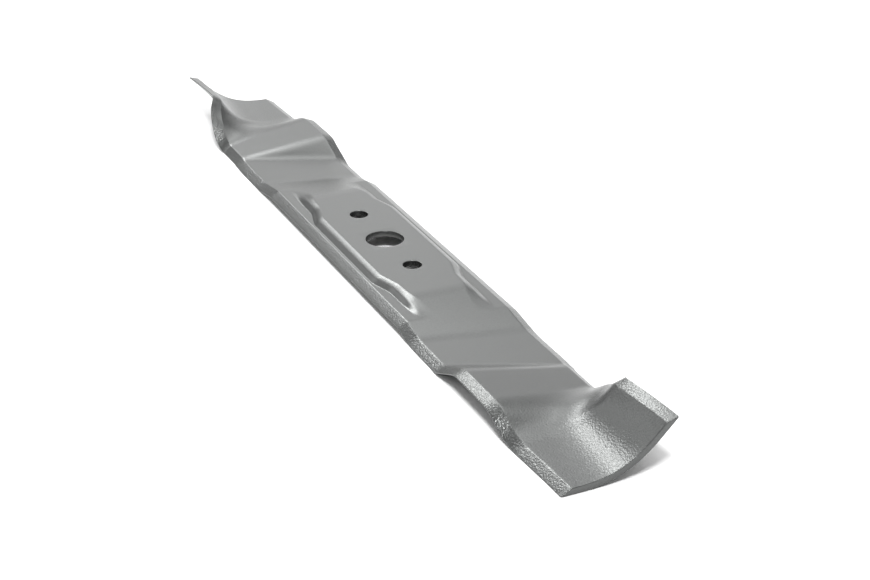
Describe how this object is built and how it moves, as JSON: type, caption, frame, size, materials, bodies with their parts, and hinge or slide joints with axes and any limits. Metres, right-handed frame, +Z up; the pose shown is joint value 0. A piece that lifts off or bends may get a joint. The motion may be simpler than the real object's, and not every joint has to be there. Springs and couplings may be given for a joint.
{
  "type": "rotary mower blade",
  "caption": "Pressed steel rotary mower blade with a raised hub, folded hub flanges, sloping arms and upswept air-lift fins at both tips, bolted at its centre.",
  "frame": {"origin": "centre of the bore, in the plane of the hub's upper face, where the bolt's washer sits", "axes": "+X along the blade, +Z up along the bore; the arm on +X has its cutting edge on -Y and its fin on +Y, so seen from above the blade turns clockwise in use"},
  "size_m": [0.4546, 0.0576, 0.0237],
  "materials": {
    "painted_steel": "satin silver-grey paint with a fine hammered texture"
  },
  "bodies": {
    "root": {"mower_blade": "painted_steel"}
  },
  "joints": []
}
